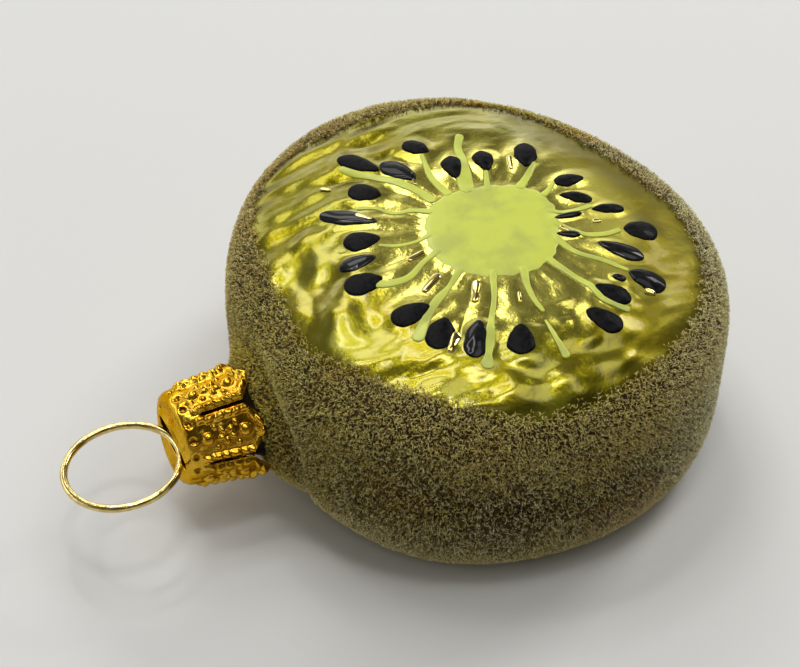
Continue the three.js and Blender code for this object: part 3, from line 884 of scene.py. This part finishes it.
def lay_flock(flocks, each, lines_from, widths):
    """One piece of fibres for each colour, sorted so that like colours gather in patches."""
    root, normal = scatter_on_wall(each * len(flocks))
    brown = bump(root[:, 2] / WIDEST_HEIGHT, 1.0, 0.8) + 0.25 * wave_noise(root, 9.0, 5)
    brown = brown + 0.3 * wave_noise(root, 1.0, 6) + flock_rng.normal(0, 0.5, len(root))
    by_brown = np.argsort(brown)
    for place, (name, colour) in enumerate(flocks.items()):
        fibre, tree, shader = new_material(name)
        dark, pale = 0.6 * np.array(colour), np.minimum(1.3 * np.array(colour), 0.95)
        shades = mottle(tree, 1400.0, dark, pale, detail=2.0)
        toned = add_node(tree, "Group", {"Fibre": shades["Colour"]}, node_tree=flock_tones)
        fill(shader, {
            "Base Color": toned.outputs["Colour"], "Roughness": 0.7, "Specular IOR Level": 0.08,
        })
        chosen = np.sort(by_brown[place * each:(place + 1) * each])
        width = flock_rng.uniform(*widths, (each, 1))
        piece = make_piece(name, *spindles(lines_from(root[chosen], normal[chosen]), width), fibre)


lay_flock(UPRIGHT_FLOCKS_IN_SHADE, UPRIGHT_EACH, upright_lines, UPRIGHT_WIDTHS)
lay_flock(BENT_FLOCKS_IN_LIGHT, BENT_EACH, bent_lines, BENT_WIDTHS)

# ---------------------------------------------------------------------------------------------
# The cap: a thin cup stamped from gilt sheet and cut into six pointed petals that grip the neck.
# Each petal is embossed with a roped border, two round bosses and a small flower between them, and
# the gilding is darkened to brown in the hollows as painted shade.

SHEET = 0.22
PLATE_RADIUS, CAP_LENGTH, MOUTH_RADIUS = 5.6, 10.2, 6.8
PLATE_CORNER, CORNER_DEPTH = 0.75, 1.0
SLOT_HALF_LENGTH, SLOT_HALF_WIDTH, SLOT_SHIFT, SLOT_FULLNESS = 4.33, 1.48, -0.45, 0.42
LIP_HEIGHT, LIP_SPREAD = 0.30, 0.55
BEAD_HEIGHT, BEAD_CIRCLE, BEAD_SPREAD, BEADS = 0.16, 4.35, 0.3, 30
DIMPLE_DEPTH, DIMPLE_LEVEL, DIMPLE_SIZE, DIMPLES = 0.30, 0.95, 0.42, 18
PLATE_ROWS, BAND_ROWS, PETAL_ROWS, PETAL_COLUMNS = 26, 18, 83, 58
PETALS = 6
PETAL_TURN, HALF_PETAL = np.radians(-7.5), np.pi / PETALS
SLIT_START, SLIT_OPENING, SLIT_HALF = 2.4, 0.7, 0.20
POINT_START, POINT_TAPER = 7.9, 0.93
ROPE_PITCH, ROPE_SLANT, ROPE_INSET, ROPE_HALF = 1.12, 0.45, 0.64, 0.42
FIELD_DEPTH = 0.13  # how far the field inside the rope is sunk
BOSS_LEVELS, BOSS_HEIGHT, BOSS_SIZE, BOSS_MOAT = (2.75, 7.25), 0.60, 0.76, 0.98
FLOWER_LEVEL, FLOWER_PETALS, FLOWER_REACH, LOBE_LENGTH, LOBE_WIDTH = 5.0, 5, 0.74, 0.52, 0.36
PIN_LEVELS, PIN_ASIDE, PIN_HEIGHT, PIN_SIZE = (3.7, 6.3), 1.25, 0.26, 0.34
TIP_LEVEL, TIP_HEIGHT, TIP_SIZE = 8.85, 0.30, 0.45
STRIKES = np.random.default_rng(7).uniform(-1, 1, (PETALS, 10))  # how far each strays


def cap_radius(depth):
    """Radius of the cup's wall: round over the plate's edge, then straight and widening."""
    straight = PLATE_RADIUS + 0.15 + (MOUTH_RADIUS - PLATE_RADIUS - 0.15) * depth / CAP_LENGTH
    corner = np.clip(1 - depth / CORNER_DEPTH, 0, 1)
    return straight - PLATE_CORNER * (1 - np.sqrt(np.clip(1 - corner**2, 0, 1)))


def dome(distance, size):
    """A round boss of a size: 1 in the middle, falling to 0 at its edge as a half ball."""
    return np.sqrt(np.clip(1 - (distance / size) ** 2, 0, 1))


def petal_emboss(aside, depth, half, petal):
    """Height of a petal's pattern at a distance from its middle line and a depth: a high border of
    slanting rope along the edge over a sunk field, and on the middle line two ringed bosses with a
    flower of five petals between them. Four pinheads stand beside the flower and one at the tip.
    Each petal's strikes stray a little by its own amounts."""
    stray = STRIKES[petal]
    to_side = half - np.abs(aside)
    uneven = wave_noise(np.stack([aside + 9.0 * petal, depth + 0 * aside], -1), 1.3, 61)
    twist = (depth + ROPE_SLANT * to_side) / ROPE_PITCH + stray[..., 0] + 0.10 * uneven
    rope = np.abs(np.cos(np.pi * twist)) ** 0.7
    rope = rope * (1 + 0.5 * smooth(depth, 7.4, 8.4))
    ridge = np.exp(-(np.abs((to_side - ROPE_INSET) / ROPE_HALF) ** 2.6))
    height = ridge * (0.20 + 0.32 * rope) - FIELD_DEPTH * smooth(to_side, 0.9, 1.3) + 0.035 * uneven
    for place, level in enumerate(BOSS_LEVELS):
        from_level = depth - level - 0.12 * stray[..., 3 + place]
        distance = np.hypot(aside - 0.10 * stray[..., 1 + place], from_level)
        height = height - 0.10 * bump(distance, BOSS_MOAT, 0.14)
        height = np.maximum(height, BOSS_HEIGHT * dome(distance, BOSS_SIZE) - FIELD_DEPTH)
    for step in range(FLOWER_PETALS):
        angle = 2 * np.pi * step / FLOWER_PETALS + 0.3 + 0.15 * stray[..., 5 + step]
        up = depth - FLOWER_LEVEL
        along = (aside * np.sin(angle) + up * np.cos(angle) - FLOWER_REACH) / LOBE_LENGTH
        across = (aside * np.cos(angle) - up * np.sin(angle)) / LOBE_WIDTH
        lobe = 0.34 + 0.08 * stray[..., 9 - step]
        height = np.maximum(height, lobe * dome(np.hypot(along, across), 1.0) - 0.10)
    for side in (-1, 1):
        for level in PIN_LEVELS:
            distance = np.hypot(aside - side * (PIN_ASIDE + 0.1 * stray[..., 4]), depth - level)
            height = np.maximum(height, PIN_HEIGHT * dome(distance, PIN_SIZE) - 0.12)
    return np.maximum(height, TIP_HEIGHT * dome(np.hypot(aside, depth - TIP_LEVEL), TIP_SIZE) - 0.1)


def from_cap(depth, across, up):
    """Points from their depth along the cap's axis, distance along +Y, and distance up."""
    points = CAP_END + depth[..., None] * INWARD + across[..., None] * np.array([0, 1, 0])
    return points + up[..., None] * UPWARD


def on_cap(depth, radial, turn):
    """Points of the cap from depth, radius and turn from the top towards -Y about its axis."""
    return from_cap(depth, -radial * np.sin(turn), radial * np.cos(turn))


def slot_edge(turn):
    """The slot in the plate as (along +Y, up): an oval with full ends, from the same turns."""
    cosine, sine = -np.sin(turn), np.cos(turn)
    half_width = SLOT_HALF_WIDTH * np.sign(sine) * np.abs(sine) ** SLOT_FULLNESS
    return SLOT_SHIFT + SLOT_HALF_LENGTH * cosine, half_width


def end_plate(turn):
    """The plate from the slot out to its edge, blended from the one outline to the other: a lip
    stands up round the slot's long sides and a ring of beads round it. Returns the points and how
    far each is raised."""
    way = np.linspace(0, 1, PLATE_ROWS)[:, None]
    slot_y, slot_up = slot_edge(turn)
    rim = cap_radius(np.zeros(1))[0]
    y = (1 - way) * slot_y + way * -rim * np.sin(turn)
    up = (1 - way) * slot_up + way * rim * np.cos(turn)
    from_slot = np.hypot(y - slot_y, up - slot_up)
    lip = LIP_HEIGHT * bump(from_slot, 0, LIP_SPREAD)
    lip = lip * (0.5 + 0.5 * np.sign(up) * np.minimum(np.abs(up), 1))
    beads = BEAD_HEIGHT * bump(np.hypot(y, up), BEAD_CIRCLE, BEAD_SPREAD) * np.cos(BEADS * turn)
    raised = lip + beads * smooth(from_slot, 0.4, 0.9)
    return from_cap(-raised, y, up), raised


def collar_band(turn):
    """The wall from the plate's edge to where the slits start, with a ring of dimples and the tops
    of the petals' patterns. Returns the points and how deep in a hollow each is."""
    depth = np.linspace(0, SLIT_START, BAND_ROWS + 1)[1:, None] * np.ones(turn.size)
    radial = cap_radius(depth)
    to_dimple = radial * ((turn * DIMPLES / (2 * np.pi)) % 1 - 0.5) * 2 * np.pi / DIMPLES
    dimple = np.exp(-((np.hypot(to_dimple, depth - DIMPLE_LEVEL) / DIMPLE_SIZE) ** 4))
    local = (turn - PETAL_TURN + HALF_PETAL) % (2 * HALF_PETAL) - HALF_PETAL
    petal = np.arange(turn.size) // PETAL_COLUMNS
    pattern = petal_emboss(radial * local, depth, radial * HALF_PETAL, petal)
    pattern = pattern * smooth(depth, 1.4, 2.1)
    spots = np.stack([radial * np.cos(turn), radial * np.sin(turn), depth], -1)
    uneven = 0.035 * wave_noise(spots, 1.6, 62)
    struck = radial + pattern - DIMPLE_DEPTH * dimple + uneven
    return on_cap(depth, struck, turn), dimple - 5 * pattern


def cap_petal(petal):
    """One petal from where the slits start to its point: depths against shares of its half-width,
    less at the slit and tapering. Returns the points and how deep in a hollow each is."""
    depth = SLIT_START + (CAP_LENGTH - SLIT_START) * np.linspace(0, 1, PETAL_ROWS + 1)[1:, None]
    share = np.linspace(-1, 1, PETAL_COLUMNS + 1)
    full = cap_radius(depth) * HALF_PETAL
    slit = SLIT_HALF * smooth(depth, SLIT_START, SLIT_START + SLIT_OPENING)
    taper = np.clip((depth - POINT_START) / (CAP_LENGTH - POINT_START), 0, 1)
    half = (full - slit) * (1 - POINT_TAPER * taper)
    aside = share * half
    slant = np.sqrt(1 + (POINT_TAPER * full / (CAP_LENGTH - POINT_START)) ** 2 * (taper > 0))
    near = np.where(taper > 0, half / slant, half)
    pattern = petal_emboss(share * near, depth, near, petal)
    radial = cap_radius(depth) + 0 * aside
    turn = PETAL_TURN + 2 * petal * HALF_PETAL + aside / radial
    return on_cap(depth + 0 * aside, radial + pattern, turn), -5 * pattern


def cell_corners(index):
    """The four corners of every cell of a grid of vertex numbers."""
    above, below = index[:-1], index[1:]
    return np.stack([above[:, :-1], above[:, 1:], below[:, 1:], below[:, :-1]], -1).reshape(-1, 4)


def cap_sheet():
    """The cap's outer skin: the plate and the band as one grid round the axis, then each petal as a
    grid of its own from the band's last row. Returns the points, the triangles, and how deep in a
    hollow each point is, from 0 to 1."""
    columns = PETALS * PETAL_COLUMNS
    turn = PETAL_TURN + 2 * np.pi * (np.arange(columns) / columns - 0.5 / PETALS)
    (plate, raised), (band, band_hollow) = end_plate(turn), collar_band(turn)
    rows = np.concatenate([plate, band])
    index = np.arange(len(rows) * columns).reshape(-1, columns)
    points, hollow = [rows.reshape(-1, 3)], [-2 * raised, band_hollow]
    quads = [cell_corners(np.c_[index, index[:, :1]])]
    count = index.size
    for petal in range(PETALS):
        grid, petal_hollow = cap_petal(petal)
        points.append(grid.reshape(-1, 3))
        hollow.append(petal_hollow)
        own = count + np.arange(PETAL_ROWS * (PETAL_COLUMNS + 1)).reshape(PETAL_ROWS, -1)
        start = index[-1, (petal * PETAL_COLUMNS + np.arange(PETAL_COLUMNS + 1)) % columns]
        quads.append(cell_corners(np.concatenate([start[None], own])))
        count += own.size
    quads = np.concatenate(quads)
    faces = np.concatenate([quads[:, [0, 1, 2]], quads[:, [0, 2, 3]]])
    hollow = np.concatenate([part.ravel() for part in hollow])
    return np.concatenate(points), faces, np.clip(hollow, 0, 1)


# Painted shade: the gilt turns dark brown by how deep in a hollow each point lies.
DULL_GILT, BRIGHT_GILT, HOLLOW_SHADE_GILT = (0.61, 0.325, 0.018), (0.76, 0.49, 0.05), (0.20, 0.07, 0.004)
gilt, tree, shader = new_material("stamped_gilt")
worn = mottle(tree, 500.0, DULL_GILT, BRIGHT_GILT)
hollow_shade = to_range(read_mask(tree, "hollow"), 0.1, 0.9, 0.0, 0.9)
hammered = mottle(tree, 2200.0, (0, 0, 0), (1, 1, 1), detail=2.0, strength=0.15)
fill(shader, {
    "Base Color": blend_colours(hollow_shade, worn["Colour"], HOLLOW_SHADE_GILT),
    "Metallic": 1.0, "Specular Tint": (0.95, 0.72, 0.36, 1),
    "Roughness": to_range(worn["Mask"], 0.0, 1.0, 0.15, 0.25),
    "Normal": hammered["Normal"],
})
cap_points, cap_faces, cap_hollow = cap_sheet()
a, b, c = (cap_points[cap_faces[:, i]] for i in range(3))
from_axis = (a + b + c) / 3 - (CAP_END + 5.0 * INWARD)
if np.einsum("ij,ij->i", np.cross(b - a, c - a), from_axis).sum() < 0:
    cap_faces = cap_faces[:, ::-1]
cap = make_piece("stamped_cap", cap_points, cap_faces, gilt)
add_mask(cap, "hollow", cap_hollow)
wall_of_sheet = cap.modifiers.new("sheet", "SOLIDIFY")
wall_of_sheet.thickness = SHEET * MM
wall_of_sheet.offset = -1.0
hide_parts("cap")

# ---------------------------------------------------------------------------------------------
# The hanging ring: one turn of pale gilt wire, its two ends butted inside the cap. It passes
# through the slot and stands out nearly level, and swings about its innermost point.

RING_RADIUS, WIRE_RADIUS = 6.95, 0.47
RING_TILT, RING_ROLL = np.radians(-1.3), np.radians(-6.0)
RING_COLUMNS, WIRE_SIDES = 260, 28


def wire_ring():
    """A closed round wire: turns round the ring against turns round the wire, whose radius swells
    and thins a little as drawn wire does. The ring lies in a plane tilted, then rolled."""
    turn = np.linspace(0, 2 * np.pi, RING_COLUMNS, endpoint=False)[:, None]
    around = np.linspace(0, 2 * np.pi, WIRE_SIDES, endpoint=False)
    thick = WIRE_RADIUS * (1 + 0.012 * np.sin(9 * turn + 1) + 0.008 * np.sin(23 * turn))
    reach = RING_RADIUS * (1 + 0.006 * np.sin(2 * turn + 0.6)) + thick * np.cos(around)
    x, y, z = reach * np.cos(turn) - RING_RADIUS, reach * np.sin(turn), thick * np.sin(around)
    cosine, sine = np.cos(RING_ROLL), np.sin(RING_ROLL)
    y, z = y * cosine - z * sine, y * sine + z * cosine
    cosine, sine = np.cos(RING_TILT), np.sin(RING_TILT)
    x, z = x * cosine + z * sine, z * cosine - x * sine
    pivot = np.array(frame["joints"][0]["pos_m"]) / MM
    points = (np.stack([x, y, z], -1) + pivot).reshape(-1, 3)
    index = np.arange(x.size).reshape(x.shape)
    right, above = np.roll(index, -1, 1), np.roll(index, -1, 0)
    corner = np.roll(right, -1, 0)
    faces = np.stack([index, above, corner, index, corner, right], -1).reshape(-1, 3)
    return points, outward(points, faces)


wire, tree, shader = new_material("pale_gilt_wire")
drawn = mottle(tree, 1300.0, (0.64, 0.48, 0.16), (0.86, 0.70, 0.30), strength=0.25)
fill(shader, {
    "Base Color": drawn["Colour"], "Normal": drawn["Normal"], "Metallic": 1.0, "Roughness": 0.14,
})
ring = make_piece("hanging_ring", *wire_ring(), wire, body="ring")
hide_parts("ring")
